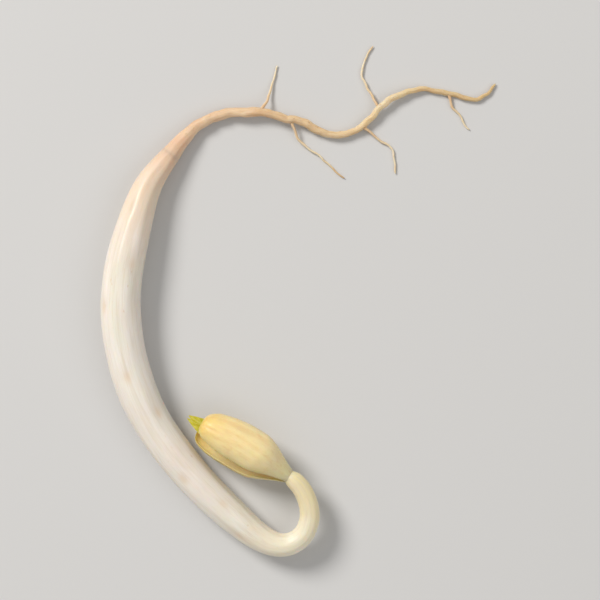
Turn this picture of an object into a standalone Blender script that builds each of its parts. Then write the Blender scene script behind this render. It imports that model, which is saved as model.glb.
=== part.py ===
"""One mung bean sprout lying on its side on a surface, in metres, +Z up.

The stem is an arc that ends in a tight hook. The hook carries the head: two cotyledons, one above
the other, with the shoot and its two folded first leaves between them. The other end of the stem
narrows into a thin wavy taproot with fine rootlets.

Points are written in millimetres as the sprout lies, +X right and +Y up when seen from above.
"""

from math import cos, pi, radians, sin

import bmesh
import bpy
from mathutils import Matrix, Vector

MM = 0.001
GAP = 0.3  # left between neighbouring pieces

# The middle of the sprout's outline, which is put over the origin.
MIDDLE = Vector((6.575, 3.923, 0.0))

# Stem, from the collar where the root starts, round the hook to the node: x, y, z, radius.
STEM = [
    (-3.9, 15.6, 0.80, 0.76),
    (-5.6, 13.2, 1.12, 1.10),
    (-6.6, 10.4, 1.38, 1.36),
    (-7.4, 7.2, 1.53, 1.52),
    (-7.8, 3.9, 1.61, 1.60),
    (-7.6, 0.7, 1.63, 1.62),
    (-6.9, -2.2, 1.62, 1.61),
    (-5.7, -5.1, 1.59, 1.58),
    (-4.0, -7.8, 1.56, 1.54),
    (-1.3, -11.0, 1.52, 1.46),
    (1.9, -14.0, 1.46, 1.26),
    (3.7, -15.3, 1.50, 1.06),
    (5.4, -15.7, 1.65, 0.92),
    (6.8, -14.9, 1.85, 0.84),
    (7.35, -13.3, 2.05, 0.78),
    (7.0, -11.7, 2.22, 0.75),
    (6.25, -10.6, 2.32, 0.72),
    (5.3, -9.95, 2.35, 0.66),
]

# Taproot, from just past the collar to its tip: x, y, z, radius.
TAPROOT = [
    (-3.65, 15.9, 0.78, 0.70),
    (-2.5, 17.3, 0.62, 0.54),
    (-0.9, 18.5, 0.50, 0.44),
    (1.1, 19.2, 0.55, 0.38),
    (3.4, 19.2, 0.68, 0.345),
    (5.7, 18.6, 0.62, 0.32),
    (7.9, 17.7, 0.42, 0.30),
    (9.9, 17.4, 0.31, 0.285),
    (11.6, 18.0, 0.38, 0.27),
    (13.0, 19.3, 0.50, 0.255),
    (14.5, 20.6, 0.48, 0.24),
    (16.5, 21.1, 0.30, 0.22),
    (18.6, 20.7, 0.21, 0.195),
    (20.3, 20.2, 0.22, 0.17),
    (21.6, 20.5, 0.19, 0.14),
    (22.5, 21.4, 0.13, 0.10),
]

# Rootlets: taproot point it grows from, heading in degrees from +X, length, bend in degrees.
ROOTLETS = [
    (4, 58, 3.4, 34),
    (5, -66, 6.2, 52),
    (8, -38, 4.4, -46),
    (9, 118, 5.2, -62),
    (12, -74, 3.0, 40),
]
ROOTLET_RADIUS = 0.11
ROOTLET_TAPER = 0.45  # share of its radius that a rootlet loses by its tip
ROOTLET_SWAY = 14  # degrees that a rootlet weaves about its bend
ROOTLET_STEPS = 6

# Head: it hangs from the node along HEAD_HEADING, rolled so that the lower cotyledon shows an edge.
HEAD_HEADING = 150.8
HEAD_ROLL = 27
COTYLEDON_START, COTYLEDON_END = 0.35, 7.65
COTYLEDON_HALF_WIDTH = 1.7
COTYLEDON_HEIGHT = 1.75  # from the plane of its rim to its back
COTYLEDON_HOLLOW = 0.40  # depth of the cupped inner side
RIM_OFFSET = 0.55  # from the head's middle plane to the plane of a rim, at the node
SPLAY = 2.5  # degrees that each cotyledon opens from the middle plane

EPICOTYL_START, EPICOTYL_END = 0.32, 2.9
EPICOTYL_RADIUS = 0.24

LEAF_START, LEAF_END = 3.25, 8.9
LEAF_HALF_WIDTH = 0.85
LEAF_THICKNESS = 0.28
LEAF_CURL = 0.25  # sideways drift of the leaf tip, away from the stem

SPROUT = "mung_bean_sprout"


def clear_scene():
    for thing in list(bpy.data.objects):
        bpy.data.objects.remove(thing, do_unlink=True)


def principled(name, colour, roughness):
    material = bpy.data.materials.new(name)
    material.use_nodes = True
    shader = material.node_tree.nodes["Principled BSDF"]
    shader.inputs["Base Color"].default_value = (*colour, 1.0)
    shader.inputs["Roughness"].default_value = roughness
    shader.inputs["Metallic"].default_value = 0.0
    return material


def add_piece(name, data, material, parent, collection):
    data.materials.append(material)
    piece = bpy.data.objects.new(name, data)
    piece.parent = parent
    collection.objects.link(piece)
    return piece


def add_tube(name, route, material, parent, collection, sides=3, steps=4):
    """A tapering round tube with closed ends through (x, y, z, radius) points in millimetres."""
    data = bpy.data.curves.new(name, "CURVE")
    data.dimensions = "3D"
    data.resolution_u = steps
    data.bevel_depth = MM
    data.bevel_resolution = sides
    data.use_fill_caps = True
    data.use_radius = True
    spline = data.splines.new("BEZIER")
    spline.radius_interpolation = "CARDINAL"
    spline.bezier_points.add(len(route) - 1)
    for point, (x, y, z, radius) in zip(spline.bezier_points, route):
        point.co = Vector((x, y, z)) * MM
        point.radius = radius
        point.handle_left_type = "AUTO"
        point.handle_right_type = "AUTO"
    return add_piece(name, data, material, parent, collection)


def rootlet_route(start_index, heading, length, bend):
    """A weaving line that starts beside the taproot's skin and settles on the surface."""
    x, y, z, root_radius = TAPROOT[start_index]
    clearance = root_radius + GAP
    x, y = x + clearance * cos(radians(heading)), y + clearance * sin(radians(heading))
    step = length / ROOTLET_STEPS
    route = []
    for i in range(ROOTLET_STEPS + 1):
        share = i / ROOTLET_STEPS
        height = ROOTLET_RADIUS + (z - ROOTLET_RADIUS) * (1 - share) ** 3
        route.append((x, y, height, ROOTLET_RADIUS * (1 - ROOTLET_TAPER * share)))
        angle = radians(heading + bend * share + ROOTLET_SWAY * sin(2 * pi * share))
        x, y = x + step * cos(angle), y + step * sin(angle)
    return route


def shaped_mesh(name, shape_point, mirrored, segments, rings):
    """A UV sphere of radius 1, poles on X, with each vertex moved by shape_point."""
    bm = bmesh.new()
    bmesh.ops.create_uvsphere(bm, u_segments=segments, v_segments=rings, radius=1.0)
    bmesh.ops.rotate(bm, verts=bm.verts, cent=(0, 0, 0), matrix=Matrix.Rotation(pi / 2, 3, "Y"))
    for vertex in bm.verts:
        vertex.co = shape_point(*vertex.co) * MM
    if mirrored:
        bmesh.ops.reverse_faces(bm, faces=bm.faces)
    mesh = bpy.data.meshes.new(name)
    bm.to_mesh(mesh)
    bm.free()
    mesh.shade_smooth()
    return mesh


def add_cotyledon(name, side, material, head, collection):
    """Half of the bean: a long blunt oval with a rounded back and a cupped inner side."""
    middle = (COTYLEDON_START + COTYLEDON_END) / 2
    half_length = (COTYLEDON_END - COTYLEDON_START) / 2
    opening = Matrix.Rotation(radians(-side * SPLAY), 3, "Y")

    def shape_point(along, across, up):
        # The oval is a little fuller towards its tip.
        width = COTYLEDON_HALF_WIDTH * (1 + 0.08 * along)
        height = COTYLEDON_HEIGHT * up if up > 0 else -COTYLEDON_HOLLOW * up
        place = Vector((middle + half_length * along, width * across, side * (RIM_OFFSET + height)))
        return opening @ place

    mesh = shaped_mesh(name, shape_point, side < 0, segments=20, rings=14)
    return add_piece(name, mesh, material, head, collection)


def add_first_leaf(name, side, material, head, collection):
    """A narrow pointed leaf, folded flat against its partner across the head's middle plane."""
    middle = (LEAF_START + LEAF_END) / 2
    half_length = (LEAF_END - LEAF_START) / 2

    def shape_point(along, across, up):
        share = (1 + along) / 2
        point = 1 - 0.45 * share**2
        drift = -LEAF_CURL * share**2
        thickness = LEAF_THICKNESS / 2 * up
        place = side * (GAP / 2 + LEAF_THICKNESS / 2 + thickness)
        return Vector((middle + half_length * along, LEAF_HALF_WIDTH * point * across + drift, place))

    mesh = shaped_mesh(name, shape_point, side < 0, segments=14, rings=14)
    return add_piece(name, mesh, material, head, collection)


def build():
    clear_scene()
    collection = bpy.data.collections.new(SPROUT)
    bpy.context.scene.collection.children.link(collection)

    ivory = principled("stem_skin", (0.84, 0.79, 0.70), 0.42)
    tan = principled("root_skin", (0.70, 0.50, 0.30), 0.55)
    pale_tan = principled("rootlet_skin", (0.76, 0.60, 0.41), 0.55)
    cream = principled("cotyledon_skin", (0.86, 0.69, 0.33), 0.45)
    pale_green = principled("epicotyl_skin", (0.72, 0.72, 0.36), 0.45)
    yellow_green = principled("leaf_skin", (0.62, 0.60, 0.07), 0.5)

    sprout = bpy.data.objects.new("sprout_frame", None)
    sprout.location = -MIDDLE * MM
    collection.objects.link(sprout)

    head = bpy.data.objects.new("head_frame", None)
    head.parent = sprout
    head.location = Vector(STEM[-1][:3]) * MM
    head.rotation_euler = (radians(HEAD_ROLL), 0, radians(HEAD_HEADING))
    collection.objects.link(head)

    add_tube("stem", STEM, ivory, sprout, collection)
    add_tube("taproot", TAPROOT, tan, sprout, collection, sides=2)
    for number, rootlet in enumerate(ROOTLETS, start=1):
        route = rootlet_route(*rootlet)
        add_tube(f"rootlet_{number}", route, pale_tan, sprout, collection, sides=2, steps=2)

    add_cotyledon("cotyledon_upper", 1, cream, head, collection)
    add_cotyledon("cotyledon_lower", -1, cream, head, collection)
    shoot = [(EPICOTYL_START, 0, 0, EPICOTYL_RADIUS), (EPICOTYL_END, 0, 0, EPICOTYL_RADIUS)]
    add_tube("epicotyl", shoot, pale_green, head, collection, sides=2)
    add_first_leaf("first_leaf_upper", 1, yellow_green, head, collection)
    add_first_leaf("first_leaf_lower", -1, yellow_green, head, collection)


build()
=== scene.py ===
"""Looks of the mung bean sprout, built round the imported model.

Each organ of the sprout gets a fine skin, which replaces the organ's plain node of the frame. The
sprout's lengths are in millimetres until MM turns them into metres. The studio's are in metres.
"""

from math import cos, exp, pi, radians, sin

import bpy
import numpy as np
from mathutils import Matrix, Vector, noise


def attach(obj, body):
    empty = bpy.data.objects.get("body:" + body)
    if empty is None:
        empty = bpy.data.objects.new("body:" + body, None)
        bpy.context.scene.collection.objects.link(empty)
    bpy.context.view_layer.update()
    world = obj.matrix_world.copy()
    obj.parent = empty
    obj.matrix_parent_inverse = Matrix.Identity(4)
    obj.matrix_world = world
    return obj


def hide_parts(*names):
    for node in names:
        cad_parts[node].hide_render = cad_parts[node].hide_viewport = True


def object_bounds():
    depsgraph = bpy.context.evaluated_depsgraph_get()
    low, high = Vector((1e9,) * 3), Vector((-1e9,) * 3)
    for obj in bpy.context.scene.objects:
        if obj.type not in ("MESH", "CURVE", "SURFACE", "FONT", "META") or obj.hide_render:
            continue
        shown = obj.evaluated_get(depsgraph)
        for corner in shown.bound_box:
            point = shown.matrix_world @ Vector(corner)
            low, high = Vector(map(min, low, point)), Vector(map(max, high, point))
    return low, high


MM = 0.001

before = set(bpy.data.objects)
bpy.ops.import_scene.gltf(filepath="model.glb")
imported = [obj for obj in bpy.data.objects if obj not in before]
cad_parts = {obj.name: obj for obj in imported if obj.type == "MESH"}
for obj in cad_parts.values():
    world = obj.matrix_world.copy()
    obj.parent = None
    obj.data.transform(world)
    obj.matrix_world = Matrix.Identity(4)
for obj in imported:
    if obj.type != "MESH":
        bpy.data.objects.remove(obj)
CAD_LOW, CAD_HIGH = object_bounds()
FLOOR_HEIGHT = CAD_LOW.z / MM

# The middle of the sprout's outline, which the frame has over its origin.
MIDDLE = np.array([6.575, 3.923, 0.0])

# Centre lines as the frame has them, the taproot's from the collar to its tip and the stem's from the
# collar round the hook to the node: x, y, z, radius.
TAPROOT = [
    (-3.65, 15.9, 0.78, 0.70),
    (-2.5, 17.3, 0.62, 0.54),
    (-0.9, 18.5, 0.50, 0.44),
    (1.1, 19.2, 0.55, 0.38),
    (3.4, 19.2, 0.68, 0.345),
    (5.7, 18.6, 0.62, 0.32),
    (7.9, 17.7, 0.42, 0.30),
    (9.9, 17.4, 0.31, 0.285),
    (11.6, 18.0, 0.38, 0.27),
    (13.0, 19.3, 0.50, 0.255),
    (14.5, 20.6, 0.48, 0.24),
    (16.5, 21.1, 0.30, 0.22),
    (18.6, 20.7, 0.21, 0.195),
    (20.3, 20.2, 0.22, 0.17),
    (21.6, 20.5, 0.19, 0.14),
    (22.5, 21.4, 0.13, 0.10),
]
STEM = [
    (-3.9, 15.6, 0.80, 0.76),
    (-5.6, 13.2, 1.12, 1.10),
    (-6.6, 10.4, 1.38, 1.36),
    (-7.4, 7.2, 1.53, 1.52),
    (-7.8, 3.9, 1.61, 1.60),
    (-7.6, 0.7, 1.63, 1.62),
    (-6.9, -2.2, 1.62, 1.61),
    (-5.7, -5.1, 1.59, 1.58),
    (-4.0, -7.8, 1.56, 1.54),
    (-1.3, -11.0, 1.52, 1.46),
    (1.9, -14.0, 1.46, 1.26),
    (3.7, -15.3, 1.50, 1.06),
    (5.4, -15.7, 1.65, 0.92),
    (6.8, -14.9, 1.85, 0.84),
    (7.35, -13.3, 2.05, 0.78),
    (7.0, -11.7, 2.22, 0.75),
    (6.25, -10.6, 2.32, 0.72),
    (5.3, -9.95, 2.35, 0.66),
]
# Rootlets: taproot point it grows from, heading in degrees from +X, length, bend in degrees.
ROOTLETS = [
    (4, 58, 3.4, 34),
    (5, -66, 6.2, 52),
    (8, -38, 4.4, -46),
    (9, 118, 5.2, -62),
    (12, -74, 3.0, 40),
]
ROOTLET_RADIUS = 0.11
ROOTLET_TAPER = 0.45  # share of its radius that a rootlet loses by its tip
ROOTLET_SWAY = 14  # degrees that a rootlet weaves about its bend
ROOTLET_STEPS = 6
ROOTLET_LENGTH = 6.5  # length over which a rootlet's colour runs from foot to tip
GAP = 0.3  # left by the frame between neighbouring pieces

# Degrees: the head's heading from +X, its roll, and each seed leaf's lean from its middle plane.
HEAD_HEADING, HEAD_ROLL = 150.8, 27
SPLAY = 2.5

# The hook's tight bend lies between these distances from the collar.
HOOK_START, HOOK_END = 36.5, 45.0

# How finely each skin is divided.
AXIS_SPACING, AXIS_SIDES = 0.10, 80
ROOTLET_SPACING, ROOTLET_SIDES = 0.08, 14
COTYLEDON_RINGS, COTYLEDON_SIDES = 130, 112
EPICOTYL_SPACING, EPICOTYL_SIDES = 0.08, 24
LEAF_RINGS, LEAF_SIDES = 90, 64
SHARP_ANGLE = 60  # degrees between two faces, above which their edge isn't smoothed

# Lengths of the rounded ends, and the share of its radius that the last ring of one keeps.
STEM_DOME, ROOT_DOME, ROOTLET_DOME, EPICOTYL_DOME = 1.2, 0.4, 0.25, 0.3
LAST_RING = 0.02

# How far the stem reaches into the taproot, and the shares of its radius there.
COLLAR_OVERLAP = 0.5
PLUG_TAPER = (0.75, 0.97)

# The taproot's wandering: amount, period, seed, length over which it fades in.
ROOT_WEAVES = [(0.30, 2.1, 4.2, 6), (0.10, 0.7, 9.7, 8)]
ROOTLET_WEAVE, ROOTLET_PERIOD, ROOTLET_EASE = 0.16, 0.9, 1.5

# Distance from the node along the head's axis, radius.
EPICOTYL = [(-0.2, 0.42), (0.6, 0.34), (1.8, 0.26), (3.3, 0.24), (3.8, 0.2)]

# Shallow marks on the stem: distance from the collar, degrees round, depth as a share of the radius.
DENTS = [
    (5.2, 60, 0.05),
    (9.6, 118, 0.04),
    (13.1, 35, 0.06),
    (18.7, 82, 0.05),
    (22.4, 130, 0.05),
    (27.9, 66, 0.06),
    (31.5, 105, 0.04),
    (34.2, 48, 0.05),
]

# Buds under the taproot's skin: distance from the collar, degrees round, height as a share of the
# radius. Distances are negative on the taproot.
BUDS = [
    (-4.1, 75, 0.16),
    (-7.3, 140, 0.20),
    (-9.2, 40, 0.22),
    (-12.6, 110, 0.20),
    (-14.0, 65, 0.24),
    (-17.9, 150, 0.22),
    (-20.4, 35, 0.24),
    (-24.6, 100, 0.25),
]

TISSUE_IOR, WATER_IOR = 1.4, 1.33
WATER_ROUGHNESS = 0.16

FLOOR_RADIUS = 1.5
FRAME_WIDTH, LENS, SENSOR = 0.047, 100, 36


# Curves and skins


def wander(x, y=0.0, z=0.0):
    """Smooth noise between about -1 and 1."""
    return noise.noise(Vector((x, y, z)))


def smooth(share):
    """Eases from 0 to 1 as share goes from 0 to 1, and stays there."""
    share = min(1.0, max(0.0, share))
    return share * share * (3 - 2 * share)


def lengths_along(rows):
    """The distance of each row from the first, along the rows."""
    steps = np.linalg.norm(np.diff(rows[:, :3], axis=0), axis=1)
    return np.concatenate([[0], np.cumsum(steps)])


def through(points, spacing):
    """Evenly spaced rows on the smooth curve through rows whose first three numbers are a place."""
    points = np.array(points, float)
    knots = lengths_along(points)
    gaps = np.diff(knots)
    last = len(points) - 1
    system, right = np.zeros((last + 1, last + 1)), np.zeros_like(points)
    system[0, 0] = system[last, last] = 1
    for i in range(1, last):
        before, after = gaps[i - 1], gaps[i]
        system[i, i - 1 : i + 2] = before, 2 * (before + after), after
        right[i] = 6 * ((points[i + 1] - points[i]) / after - (points[i] - points[i - 1]) / before)
    bends = np.linalg.solve(system, right)
    at = np.linspace(0, knots[-1], int(knots[-1] / spacing) + 1)
    i = np.clip(np.searchsorted(knots, at, side="right") - 1, 0, last - 1)
    near = ((knots[i + 1] - at) / gaps[i])[:, None]
    far = 1 - near
    straight = near * points[i] + far * points[i + 1]
    bent = (near**3 - near) * bends[i] + (far**3 - far) * bends[i + 1]
    return straight + bent * (gaps[i] ** 2 / 6)[:, None]


def weave(route, amount, period, seed, ease):
    """Makes a route of rows wander sideways by up to amount, fading in over the length ease."""
    route = route.copy()
    along = lengths_along(route)
    for row, distance in zip(route, along):
        fade = smooth(distance / ease)
        row[0] += amount * fade * wander(distance / period, seed)
        row[1] += amount * fade * wander(distance / period, seed + 11.3)
    return route


def domed(route, depth, at_start=False):
    """The route with its radius brought down to a rounded end over depth."""
    route = route.copy()
    along = lengths_along(route)
    left = along if at_start else along[-1] - along
    share = np.clip(left / depth, 0, 1)
    route[:, 3] *= np.sqrt(np.clip(1 - (1 - share) ** 2, LAST_RING**2, 1))
    return route


def ring_faces(rings, sides):
    """Quads between rings of vertices, with a fan to one more vertex at each end."""
    faces = []
    for row in range(rings - 1):
        for k in range(sides):
            a, b = row * sides + k, row * sides + (k + 1) % sides
            faces.append((a, a + sides, b + sides, b))
    first, last = rings * sides, rings * sides + 1
    end = (rings - 1) * sides
    for k in range(sides):
        after = (k + 1) % sides
        faces.append((first, k, after))
        faces.append((last, end + after, end + k))
    return faces


def mesh_piece(name, points, faces, attributes, material):
    """A shown piece from points in millimetres, with number or vector attributes for its material."""
    mesh = bpy.data.meshes.new(name)
    points = np.array(points, float)
    points[:, 2] = np.maximum(points[:, 2], FLOOR_HEIGHT)
    mesh.from_pydata((points * MM).tolist(), [], faces)
    for label, values in attributes.items():
        values = np.array(values, np.float32)
        kind, field = ("FLOAT", "value") if values.ndim == 1 else ("FLOAT_VECTOR", "vector")
        mesh.attributes.new(label, kind, "POINT").data.foreach_set(field, values.ravel())
    mesh.shade_smooth()
    mesh.set_sharp_from_angle(angle=radians(SHARP_ANGLE))
    mesh.materials.append(material)
    piece = bpy.data.objects.new(name, mesh)
    bpy.context.scene.collection.objects.link(piece)
    return piece


def skin(name, route, sides, relief, material, origin=0.0):
    """A closed skin round a route of (x, y, z, radius) rows.

    relief(along, around) gives each vertex's share of the radius. The attributes hold the distance
    along the route from its origin, and a place that runs with the skin, for grain.
    """
    places, radii = route[:, :3], route[:, 3]
    along = lengths_along(route) - origin
    tangents = np.gradient(places, axis=0)
    tangents /= np.linalg.norm(tangents, axis=1)[:, None]
    across = np.cross(tangents, [0, 0, 1])
    across /= np.linalg.norm(across, axis=1)[:, None]
    up = np.cross(across, tangents)
    points, grain, distance = [], [], []
    for i, place in enumerate(places):
        for k in range(sides):
            angle = 2 * pi * k / sides
            radius = radii[i] * relief(along[i], angle)
            points.append(place + radius * (cos(angle) * across[i] + sin(angle) * up[i]))
            grain.append((radii[i] * cos(angle), radii[i] * sin(angle), along[i]))
            distance.append(along[i])
    for i in (0, -1):
        points.append(places[i])
        grain.append((0, 0, along[i]))
        distance.append(along[i])
    faces = ring_faces(len(places), sides)
    attributes = {"distance": distance, "grain": grain}
    return mesh_piece(name, np.array(points) - MIDDLE, faces, attributes, material)


def fit(piece, node):
    """Ties a shown piece to the frame: its body and the node it stands for."""
    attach(piece, "root")
    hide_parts(node)


# Materials


class Nodes:
    """Short names for the few node types that the materials use."""

    def __init__(self, name):
        self.material = bpy.data.materials.new(name)
        self.material.use_nodes = True
        self.tree = self.material.node_tree
        self.shader = self.tree.nodes["Principled BSDF"]

    def link(self, value, socket):
        if isinstance(value, bpy.types.NodeSocket):
            self.tree.links.new(value, socket)
        else:
            socket.default_value = value

    def attribute(self, name, output="Fac"):
        node = self.tree.nodes.new("ShaderNodeAttribute")
        node.attribute_name = name
        return node.outputs[output]

    def scaled(self, vector, scale):
        node = self.tree.nodes.new("ShaderNodeVectorMath")
        node.operation = "MULTIPLY"
        self.link(vector, node.inputs[0])
        node.inputs[1].default_value = scale
        return node.outputs[0]

    def noise(self, vector, scale=1.0, detail=3.0, roughness=0.5):
        node = self.tree.nodes.new("ShaderNodeTexNoise")
        self.link(vector, node.inputs["Vector"])
        node.inputs["Scale"].default_value = scale
        node.inputs["Detail"].default_value = detail
        node.inputs["Roughness"].default_value = roughness
        return node.outputs["Fac"]

    def ramp(self, factor, stops):
        """Stops are (position, colour) pairs."""
        node = self.tree.nodes.new("ShaderNodeValToRGB")
        elements = node.color_ramp.elements
        while len(elements) < len(stops):
            elements.new(0.5)
        for element, (position, colour) in zip(elements, stops):
            element.position = position
            element.color = (*colour, 1)
        self.link(factor, node.inputs["Fac"])
        return node.outputs["Color"]

    def spread(self, value, low, high, to_low=0.0, to_high=1.0):
        node = self.tree.nodes.new("ShaderNodeMapRange")
        self.link(value, node.inputs["Value"])
        labels = ("From Min", "From Max", "To Min", "To Max")
        for label, number in zip(labels, (low, high, to_low, to_high)):
            node.inputs[label].default_value = number
        return node.outputs["Result"]

    def maths(self, operation, first, second):
        node = self.tree.nodes.new("ShaderNodeMath")
        node.operation = operation
        self.link(first, node.inputs[0])
        self.link(second, node.inputs[1])
        return node.outputs[0]

    def mix(self, factor, first, second):
        node = self.tree.nodes.new("ShaderNodeMix")
        node.data_type = "RGBA"
        self.link(factor, node.inputs["Factor"])
        for value, socket in ((first, node.inputs[6]), (second, node.inputs[7])):
            self.link((*value, 1) if isinstance(value, tuple) else value, socket)
        return node.outputs[2]

    def bump(self, height, depth, strength, below=None):
        """A bumped normal. depth is in millimetres, below is a normal to add it to."""
        node = self.tree.nodes.new("ShaderNodeBump")
        self.link(height, node.inputs["Height"])
        node.inputs["Distance"].default_value = depth * MM
        node.inputs["Strength"].default_value = strength
        if below is not None:
            self.link(below, node.inputs["Normal"])
        return node.outputs["Normal"]

    def finish(self, colour, roughness, normal, depth, soft, coat=0.0, bleed=(1.0, 0.72, 0.42)):
        """Connects the shader. Light spreads to depth millimetres under the skin, tinted by bleed."""
        inputs = self.shader.inputs
        self.link(colour, inputs["Base Color"])
        self.link(roughness, inputs["Roughness"])
        self.link(normal, inputs["Normal"])
        inputs["Subsurface Weight"].default_value = soft
        inputs["Subsurface Radius"].default_value = bleed
        inputs["Subsurface Scale"].default_value = depth * MM
        inputs["IOR"].default_value = TISSUE_IOR
        inputs["Coat Weight"].default_value = coat
        inputs["Coat Roughness"].default_value = WATER_ROUGHNESS
        inputs["Coat IOR"].default_value = WATER_IOR
        return self.material


def axis_colour(n, distance):
    """Colour along the plant: tan root, peach collar, ivory stem, cream-yellow hook."""
    start, end = -34.0, 50.0
    stops = [
        (-33, (0.40, 0.22, 0.10)),
        (-29, (0.62, 0.42, 0.22)),
        (-20, (0.72, 0.55, 0.34)),
        (-10, (0.70, 0.50, 0.31)),
        (-3, (0.69, 0.45, 0.29)),
        (0, (0.72, 0.50, 0.35)),
        (4, (0.79, 0.65, 0.51)),
        (9, (0.81, 0.74, 0.66)),
        (16, (0.82, 0.77, 0.71)),
        (31, (0.82, 0.77, 0.70)),
        (38, (0.83, 0.76, 0.60)),
        (43, (0.83, 0.73, 0.44)),
        (48, (0.82, 0.69, 0.36)),
    ]
    position = n.spread(distance, start, end)
    return n.ramp(position, [((at - start) / (end - start), colour) for at, colour in stops])


def axis_material():
    """Skin of the stem and taproot: moist ivory stem with cell files along it, drier tan root.

    The distance attribute is 0 at the collar and grows into the stem, and every effect fades from
    the stem's to the root's across the collar, so that no seam shows.
    """
    n = Nodes("axis_skin_fine")
    distance, grain = n.attribute("distance"), n.attribute("grain", "Vector")
    dent = n.attribute("dent")
    root = n.spread(distance, 3.0, -5.0)
    stem = n.spread(distance, -3.0, 6.0)
    files = n.noise(n.scaled(grain, (11, 11, 0.45)), detail=4, roughness=0.6)
    strands = n.noise(n.scaled(grain, (2.6, 2.6, 0.10)), detail=2)
    patches = n.noise(n.scaled(grain, (0.7, 0.7, 0.28)), detail=3)
    tint = n.noise(n.scaled(grain, (0.35, 0.35, 0.13)), detail=2)
    specks = n.noise(n.scaled(grain, (3.2, 3.2, 1.6)), detail=2)
    wrinkles = n.noise(n.scaled(grain, (9, 9, 1.1)), detail=4, roughness=0.6)
    flecks = n.noise(n.scaled(grain, (5, 5, 3.2)), detail=2)

    def layer(colour, mask, value, low, high, amount, over):
        """Mixes a colour in as a noise goes from low to high, as far as the mask allows."""
        return n.mix(n.maths("MULTIPLY", mask, n.spread(value, low, high, 0, amount)), colour, over)

    colour = axis_colour(n, distance)
    colour = layer(colour, stem, tint, 0.52, 0.72, 0.55, (0.84, 0.70, 0.64))
    colour = layer(colour, stem, tint, 0.46, 0.28, 0.45, (0.76, 0.78, 0.66))
    colour = layer(colour, stem, patches, 0.50, 0.72, 0.40, (0.90, 0.87, 0.83))
    colour = layer(colour, stem, strands, 0.50, 0.64, 0.42, (0.70, 0.63, 0.51))
    colour = layer(colour, stem, files, 0.50, 0.72, 0.38, (0.66, 0.57, 0.43))
    colour = layer(colour, stem, specks, 0.70, 0.80, 0.45, (0.66, 0.44, 0.24))
    colour = n.mix(n.maths("MULTIPLY", dent, 0.45), colour, (0.72, 0.54, 0.36))
    colour = layer(colour, root, patches, 0.50, 0.72, 0.60, (0.80, 0.68, 0.50))
    colour = layer(colour, root, patches, 0.46, 0.30, 0.55, (0.58, 0.35, 0.18))
    colour = layer(colour, root, wrinkles, 0.50, 0.72, 0.50, (0.50, 0.30, 0.15))
    colour = layer(colour, root, flecks, 0.66, 0.76, 0.60, (0.36, 0.19, 0.09))

    wet = n.spread(n.maths("ADD", patches, n.maths("MULTIPLY", files, 0.5)), 0.5, 1.0, 0.32, 0.50)
    roughness = n.maths("ADD", wet, n.maths("MULTIPLY", root, 0.16))
    normal = n.bump(strands, 0.05, 0.35)
    normal = n.bump(files, 0.02, 0.45, normal)
    normal = n.bump(n.maths("MULTIPLY", wrinkles, root), 0.04, 0.6, normal)
    return n.finish(colour, roughness, normal, 1.2, 0.5, coat=0.10, bleed=(1.0, 0.76, 0.48))


def rootlet_material():
    n = Nodes("rootlet_skin_fine")
    distance, grain = n.attribute("distance"), n.attribute("grain", "Vector")
    patches = n.noise(n.scaled(grain, (2, 2, 1.2)), detail=3)
    wrinkles = n.noise(n.scaled(grain, (14, 14, 2.5)), detail=3)
    share = n.maths("ADD", n.spread(distance, 0, ROOTLET_LENGTH), n.spread(patches, 0.3, 0.7, -0.12, 0.12))
    colour = n.ramp(
        share,
        [
            (0.0, (0.68, 0.46, 0.27)),
            (0.25, (0.76, 0.60, 0.40)),
            (0.6, (0.80, 0.68, 0.50)),
            (0.85, (0.74, 0.56, 0.34)),
            (1.0, (0.56, 0.35, 0.18)),
        ],
    )
    colour = n.mix(n.spread(wrinkles, 0.52, 0.75, 0, 0.45), colour, (0.55, 0.35, 0.18))
    roughness = n.spread(patches, 0.3, 0.7, 0.42, 0.60)
    return n.finish(colour, roughness, n.bump(wrinkles, 0.02, 0.5), 0.3, 0.3)


def cotyledon_material():
    """Waxy pale yellow, drying orange-tan at the tip, greenish at the rim, painted shade in folds."""
    n = Nodes("cotyledon_skin_fine")
    along, grain = n.attribute("distance"), n.attribute("grain", "Vector")
    rim, fold = n.attribute("rim"), n.attribute("fold")
    mottle = n.noise(n.scaled(grain, (0.9, 0.9, 0.55)), detail=4, roughness=0.6)
    cells = n.noise(n.scaled(grain, (9, 9, 5)), detail=3)
    lines = n.noise(n.scaled(grain, (4.2, 4.2, 0.5)), detail=3)
    colour = n.ramp(
        n.maths("ADD", along, n.spread(mottle, 0.3, 0.7, -0.10, 0.10)),
        [
            (0.0, (0.85, 0.71, 0.38)),
            (0.14, (0.88, 0.74, 0.42)),
            (0.45, (0.90, 0.75, 0.41)),
            (0.78, (0.89, 0.72, 0.36)),
            (0.93, (0.85, 0.63, 0.24)),
            (1.0, (0.78, 0.53, 0.14)),
        ],
    )
    colour = n.mix(n.spread(mottle, 0.52, 0.74, 0, 0.55), colour, (0.90, 0.77, 0.52))
    colour = n.mix(n.spread(mottle, 0.44, 0.28, 0, 0.50), colour, (0.78, 0.50, 0.20))
    # Painted shade: darker orange-tan in the valleys between the folds.
    colour = n.mix(n.maths("MULTIPLY", fold, 0.30), colour, (0.74, 0.47, 0.18))
    colour = n.mix(n.maths("MULTIPLY", rim, 0.40), colour, (0.74, 0.60, 0.16))
    colour = n.mix(n.spread(lines, 0.50, 0.72, 0, 0.30), colour, (0.74, 0.50, 0.20))
    colour = n.mix(n.spread(cells, 0.54, 0.78, 0, 0.25), colour, (0.72, 0.50, 0.24))

    roughness = n.spread(mottle, 0.3, 0.7, 0.34, 0.50)
    normal = n.bump(lines, 0.05, 0.35)
    normal = n.bump(cells, 0.015, 0.5, normal)
    return n.finish(colour, roughness, normal, 1.0, 0.45, coat=0.12, bleed=(1.0, 0.66, 0.25))


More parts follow.
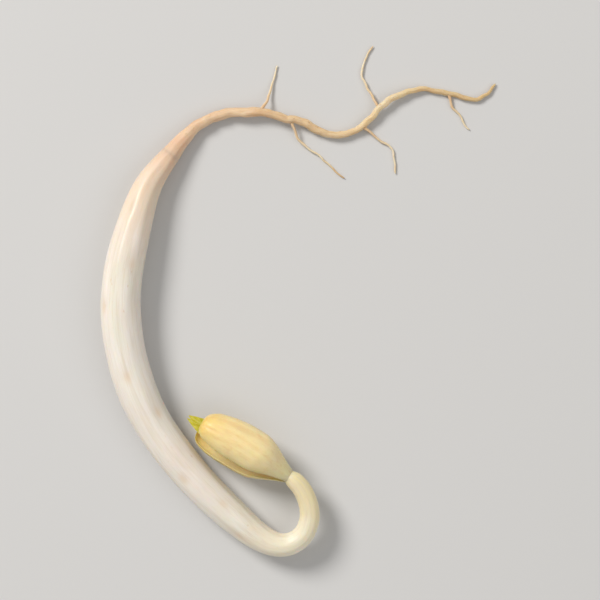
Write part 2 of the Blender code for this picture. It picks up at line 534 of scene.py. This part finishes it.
def epicotyl_material():
    n = Nodes("epicotyl_skin_fine")
    grain = n.attribute("grain", "Vector")
    files = n.noise(n.scaled(grain, (8, 8, 0.6)), detail=3)
    patches = n.noise(n.scaled(grain, (1.2, 1.2, 0.8)), detail=2)
    colour = n.mix(patches, (0.78, 0.76, 0.44), (0.66, 0.68, 0.24))
    colour = n.mix(n.spread(files, 0.5, 0.75, 0, 0.35), colour, (0.58, 0.56, 0.20))
    roughness = n.spread(patches, 0.3, 0.7, 0.35, 0.50)
    return n.finish(colour, roughness, n.bump(files, 0.02, 0.5), 0.6, 0.4, coat=0.1)


def leaf_material():
    """Yellow-green, paler along the veins, with a warm edge."""
    n = Nodes("leaf_skin_fine")
    along, grain = n.attribute("distance"), n.attribute("grain", "Vector")
    vein, rim = n.attribute("vein"), n.attribute("rim")
    patches = n.noise(n.scaled(grain, (1.6, 1.6, 1.0)), detail=3)
    cells = n.noise(n.scaled(grain, (14, 14, 9)), detail=3)
    colour = n.ramp(
        n.maths("ADD", along, n.spread(patches, 0.3, 0.7, -0.12, 0.12)),
        [
            (0.0, (0.74, 0.68, 0.26)),
            (0.4, (0.64, 0.58, 0.10)),
            (0.8, (0.56, 0.53, 0.035)),
            (1.0, (0.60, 0.50, 0.03)),
        ],
    )
    colour = n.mix(n.spread(patches, 0.5, 0.75, 0, 0.5), colour, (0.44, 0.47, 0.03))
    colour = n.mix(n.maths("MULTIPLY", vein, 0.6), colour, (0.76, 0.70, 0.22))
    colour = n.mix(n.maths("MULTIPLY", rim, 0.5), colour, (0.70, 0.52, 0.08))
    colour = n.mix(n.spread(cells, 0.52, 0.75, 0, 0.3), colour, (0.40, 0.42, 0.03))
    roughness = n.spread(patches, 0.3, 0.7, 0.36, 0.52)
    normal = n.bump(cells, 0.01, 0.5)
    return n.finish(colour, roughness, normal, 0.5, 0.35, coat=0.08, bleed=(0.8, 1.0, 0.2))


def floor_material():
    n = Nodes("pale_floor")
    place = n.tree.nodes.new("ShaderNodeTexCoord").outputs["Object"]
    inputs = n.shader.inputs
    colour = n.mix(n.noise(place, 6, detail=2), (0.62, 0.62, 0.62), (0.65, 0.65, 0.65))
    n.link(colour, inputs["Base Color"])
    inputs["Roughness"].default_value = 0.9
    inputs["Specular IOR Level"].default_value = 0.2
    return n.material


# Stem and roots


def spots(marks, along, around, reach, turn):
    """Sum of soft round spots, each a (distance, degrees, size), reach long and turn radians wide."""
    total = 0.0
    for distance, degrees, size in marks:
        if abs(along - distance) < 3 * reach:
            apart = (along - distance) / reach
            round_apart = (around - radians(degrees)) / turn
            total += size * exp(-(apart**2) - round_apart**2)
    return total


def stem_relief(along, around):
    """The stem is slightly oval and ribbed, swells and thins, and creases inside its hook."""
    oval = 0.020 * cos(2 * around + 0.12 * along)
    swell = 0.028 * wander(along / 4.2, 3.1)
    lean = 0.035 * wander(along / 6.0, cos(around) * 0.8, sin(around) * 0.8 + 9.0)
    ribs = 0.010 * cos(9 * around + 0.10 * along + 1.5 * wander(along / 9, 2.0))
    ridges = 0.012 * wander(cos(around) * 3.2, sin(around) * 3.2, along / 5.0)
    # Angle pi faces the inner side of the hook, where the skin is squeezed into folds.
    inside = max(0.0, -cos(around)) ** 2
    within = smooth((along - HOOK_START) / 2.5) * smooth((HOOK_END - along) / 2.5)
    creases = 0.035 * within * inside * wander(along / 0.30, sin(around) * 1.2, 7.0)
    near_collar = smooth(1 - along / 8)
    shrunk = near_collar * 0.05 * wander(cos(around) * 2.6, sin(around) * 2.6, along / 2.2 + 40)
    dents = spots(DENTS, along, around, 0.8, 0.35)
    return 1 + oval + swell + lean + ribs + ridges + creases + shrunk - dents


def root_relief(along, around):
    """The taproot is lumpy and wrinkled, more so towards its tip."""
    lumps = 0.13 * wander(along / 1.1, 5.5)
    rings = 0.05 * wander(along / 0.35, 8.5)
    lean = 0.16 * wander(along / 0.9, cos(around), sin(around) + 4.0)
    wrinkles = 0.06 * wander(cos(around) * 2.2, sin(around) * 2.2, along / 1.6 + 40)
    buds = spots(BUDS, along, around, 0.28, 0.6)
    fade = smooth(-along / 4)
    own = lumps + rings + lean + wrinkles + buds
    return 1 + fade * own + (1 - fade) * (stem_relief(along, around) - 1)


def make_axis():
    """Stem and taproot share one line, so that their skins meet ring to ring at the collar."""
    line = through(TAPROOT[:0:-1] + STEM, AXIS_SPACING)
    collar = int(np.argmin(np.linalg.norm(line[:, :3] - np.array(STEM[0][:3]), axis=1)))
    material = axis_material()

    # The stem reaches a little way into the taproot, narrower, so that no crack shows.
    plug = int(COLLAR_OVERLAP / AXIS_SPACING)
    upper = line[collar - plug :].copy()
    upper[:plug, 3] *= np.linspace(*PLUG_TAPER, plug)
    rounded, origin = domed(upper, STEM_DOME), plug * AXIS_SPACING
    stem = skin("stem_surface", rounded, AXIS_SIDES, stem_relief, material, origin)
    fit(stem, "stem")

    lower = line[: collar + 1][::-1]
    for amount, period, seed, ease in ROOT_WEAVES:
        lower = weave(lower, amount, period, seed, ease)
    lower = lower[::-1]
    rounded, origin = domed(lower, ROOT_DOME, at_start=True), lengths_along(lower)[-1]
    taproot = skin("taproot_surface", rounded, AXIS_SIDES, root_relief, material, origin)
    fit(taproot, "taproot")
    for piece in (stem, taproot):
        mark_dents(piece)


def mark_dents(piece):
    """Marks the stem's dents in an attribute, so that the skin can be browner there."""
    mesh = piece.data
    grain = np.zeros(len(mesh.vertices) * 3, np.float32)
    mesh.attributes["grain"].data.foreach_get("vector", grain)
    values = []
    for x, y, along in grain.reshape(-1, 3):
        around = float(np.arctan2(y, x))
        values.append(min(1.0, 20 * spots(DENTS, along, around, 0.5, 0.2)))
    mesh.attributes.new("dent", "FLOAT", "POINT").data.foreach_set("value", values)


def rootlet_route(start, heading, length, bend):
    """The rootlet's own line, led back to the middle of the taproot that it grows from."""
    x, y, z, root_radius = TAPROOT[start]
    route = [(x, y, z, ROOTLET_RADIUS * 1.5)]
    clearance = root_radius + GAP
    x, y = x + clearance * cos(radians(heading)), y + clearance * sin(radians(heading))
    step = length / ROOTLET_STEPS
    for i in range(ROOTLET_STEPS + 1):
        share = i / ROOTLET_STEPS
        height = ROOTLET_RADIUS + (z - ROOTLET_RADIUS) * (1 - share) ** 3
        route.append((x, y, height, ROOTLET_RADIUS * (1 - ROOTLET_TAPER * share)))
        angle = radians(heading + bend * share + ROOTLET_SWAY * sin(2 * pi * share))
        x, y = x + step * cos(angle), y + step * sin(angle)
    return route


def make_rootlets():
    material = rootlet_material()
    for number, rootlet in enumerate(ROOTLETS, start=1):

        def relief(along, around, seed=number * 7.3):
            lumps = 0.16 * wander(along / 0.5, seed)
            return 1 + lumps + 0.12 * wander(along / 0.6, cos(around), seed + sin(around))

        route = through(rootlet_route(*rootlet), ROOTLET_SPACING)
        route = weave(route, ROOTLET_WEAVE, ROOTLET_PERIOD, number * 3.7, ROOTLET_EASE)
        name = f"rootlet_{number}_surface"
        piece = skin(name, domed(route, ROOTLET_DOME), ROOTLET_SIDES, relief, material)
        fit(piece, f"rootlet_{number}")


# Head


def head_matrix():
    """From the head's own axes to the frame: X towards the tips, Z towards the upper cotyledon."""
    place = Vector(STEM[-1][:3]) - Vector(MIDDLE)
    heading = Matrix.Rotation(radians(HEAD_HEADING), 4, "Z")
    roll = Matrix.Rotation(radians(HEAD_ROLL), 4, "X")
    return Matrix.Translation(place) @ (heading @ roll)


def pod(name, start, end, rings, sides, shape, matrix, side, material):
    """A closed skin between two poles on the head's X axis, mirrored for the lower side.

    shape(share, phi, angle) gives a vertex's (y, z) and its further attributes, where share goes from
    0 at the start to 1 at the end, and phi from 0 to pi.
    """
    points, along, grain, extras = [], [], [], {}

    def add(phi, angle):
        share = (1 - cos(phi)) / 2
        y, z, further = shape(share, phi, angle)
        x = start + (end - start) * share
        points.append(matrix @ Vector((x, y, side * z)))
        along.append(share)
        grain.append((y, side * z, x))
        for label, value in further.items():
            extras.setdefault(label, []).append(value)

    for i in range(rings):
        for k in range(sides):
            add(pi * (i + 0.5) / rings, 2 * pi * k / sides)
    for phi in (0, pi):
        add(phi, 0)
    faces = ring_faces(rings, sides)
    if side > 0:
        faces = [face[::-1] for face in faces]
    attributes = {"distance": along, "grain": grain, **extras}
    return mesh_piece(name, [tuple(point) for point in points], faces, attributes, material)


def make_cotyledon(name, side, material):
    """A seed leaf: a waist at the node, a long back with shrunken folds, a cupped inner side."""
    start, end = -0.95, 7.75
    half_width, back, hollow, lip = 1.72, 1.72, 0.42, 0.07
    seed = 3.0 if side > 0 else 17.0
    opening = Matrix.Rotation(radians(-side * SPLAY), 4, "Y")

    def shape(share, phi, angle):
        across, up = cos(angle), sin(angle)
        waist = smooth((share - 0.06) / 0.40)
        width = half_width * (0.54 + 0.46 * waist) * sin(phi) ** 0.62 * (0.96 + 0.06 * share)
        height = back * (0.42 + 0.58 * smooth((share - 0.06) / 0.36)) * sin(phi) ** 0.66
        rim_height = 0.04 + 0.48 * smooth(share / 0.32)
        # Long folds run from the waist to the tip, and the skin between them sags.
        deep = wander(across * 2.4 + 0.5 * share, share * 1.7, seed)
        fine = wander(across * 6.5, share * 3.6, seed + 5)
        dimples = wander(across * 3.5, share * 9.0, seed + 9)
        quiet = smooth(sin(phi) / 0.5)
        fold = 0.055 * deep + 0.022 * fine + 0.03 * dimples
        if up >= 0:
            z = height * up * (1 + quiet * fold)
        else:
            z = hollow * quiet * (-up) ** 1.5 - lip * quiet * sin(pi * min(1.0, -up * 1.7))
        coarse_waver = 0.035 * wander(share * 5, seed + across)
        fine_waver = 0.02 * wander(share * 14, seed + 2 * across)
        waver = 1 + quiet * (coarse_waver + fine_waver)
        fuller = 1.03 if across < 0 else 0.97
        y = width * across * waver * fuller - 0.16 * sin(pi * share)
        # pinch marks the valleys between the folds, where the material paints shade.
        pinch = max(0.0, -(deep + 0.5 * fine)) * 1.6 * quiet
        edge = max(0.0, 1 - abs(up) * 3.5) * smooth(share / 0.3)
        return y, rim_height + z, {"fold": min(1.0, pinch), "rim": edge}

    matrix = head_matrix() @ opening
    rings, sides = COTYLEDON_RINGS, COTYLEDON_SIDES
    piece = pod(f"{name}_surface", start, end, rings, sides, shape, matrix, side, material)
    fit(piece, name)


def make_leaf(name, side, material):
    """A first leaf: narrow, pointed, pleated along its veins and folded against its partner."""
    start, end = 3.2, 8.92
    half_width, thickness, clearance, curl = 0.86, 0.15, 0.15, 0.25
    vein_pairs = 9

    def shape(share, phi, angle):
        across, up = cos(angle), sin(angle)
        pointed = sin(phi) ** (0.95 + 0.6 * smooth(2 * share - 1))
        width = half_width * pointed * (1 - 0.42 * share**2)
        width *= 1 + 0.04 * wander(share * 9, across, side * 3.0)
        from_middle = abs(across)
        pleat = cos(2 * pi * (share * vein_pairs - from_middle * 1.1))
        midrib = exp(-((across / 0.16) ** 2))
        quiet = smooth(sin(phi) / 0.4)
        height = clearance + thickness / 2 * (1 + up * sin(phi) ** 0.5)
        height += quiet * (0.022 * pleat * (1 - midrib) + 0.03 * midrib + 0.09 * from_middle**2)
        height += 0.08 * share**3
        vein = quiet * max(midrib, max(0.0, pleat) ** 6 * 0.8)
        further = {"vein": vein, "rim": smooth(from_middle * 4 - 3)}
        return width * across - curl * share**2, height, further

    matrix = head_matrix()
    piece = pod(f"{name}_surface", start, end, LEAF_RINGS, LEAF_SIDES, shape, matrix, side, material)
    fit(piece, name)


def make_epicotyl():
    """The short shoot between the seed leaves, thicker where it leaves the node."""
    matrix = head_matrix()
    route = [(*(matrix @ Vector((x, 0, 0)) + Vector(MIDDLE)), radius) for x, radius in EPICOTYL]

    def relief(along, around):
        return 1 + 0.05 * wander(along, cos(around), sin(around)) + 0.03 * cos(5 * around)

    rounded = domed(through(route, EPICOTYL_SPACING), EPICOTYL_DOME)
    piece = skin("epicotyl_surface", rounded, EPICOTYL_SIDES, relief, epicotyl_material())
    fit(piece, "epicotyl")


# Studio


def area_light(name, place, target, size, power, colour):
    data = bpy.data.lights.new(name, "AREA")
    data.shape = "DISK"
    data.size = size
    data.energy = power
    data.color = colour
    lamp = bpy.data.objects.new(name, data)
    lamp.location = place
    lamp.rotation_euler = (Vector(target) - Vector(place)).to_track_quat("-Z", "Y").to_euler()
    bpy.context.scene.collection.objects.link(lamp)


def make_studio():
    centre = (CAD_LOW + CAD_HIGH) / 2
    bpy.ops.mesh.primitive_circle_add(
        vertices=96, radius=FLOOR_RADIUS, fill_type="NGON", location=(0, 0, CAD_LOW.z)
    )
    floor = bpy.context.object
    floor.name = "floor"
    floor.data.materials.append(floor_material())

    area_light("key_light", (-0.30, 0.28, 0.34), centre, 0.20, 2.4, (1.0, 0.97, 0.93))
    area_light("fill_light", (0.40, -0.20, 0.45), centre, 0.50, 0.8, (1.0, 0.98, 0.95))

    world = bpy.data.worlds.new("studio")
    world.use_nodes = True
    background = world.node_tree.nodes["Background"]
    background.inputs["Color"].default_value = (1.0, 0.985, 0.96, 1)
    background.inputs["Strength"].default_value = 0.38
    bpy.context.scene.world = world

    data = bpy.data.cameras.new("camera")
    data.lens = LENS
    data.sensor_width = SENSOR
    camera = bpy.data.objects.new("camera", data)
    camera.location = (centre.x, centre.y, CAD_HIGH.z + FRAME_WIDTH * LENS / SENSOR)
    bpy.context.scene.collection.objects.link(camera)
    bpy.context.scene.camera = camera
    bpy.context.scene.view_settings.view_transform = "Standard"


def main():
    make_axis()
    make_rootlets()
    cotyledon = cotyledon_material()
    make_cotyledon("cotyledon_upper", 1, cotyledon)
    make_cotyledon("cotyledon_lower", -1, cotyledon)
    make_epicotyl()
    leaf = leaf_material()
    make_leaf("first_leaf_upper", 1, leaf)
    make_leaf("first_leaf_lower", -1, leaf)
    make_studio()


main()
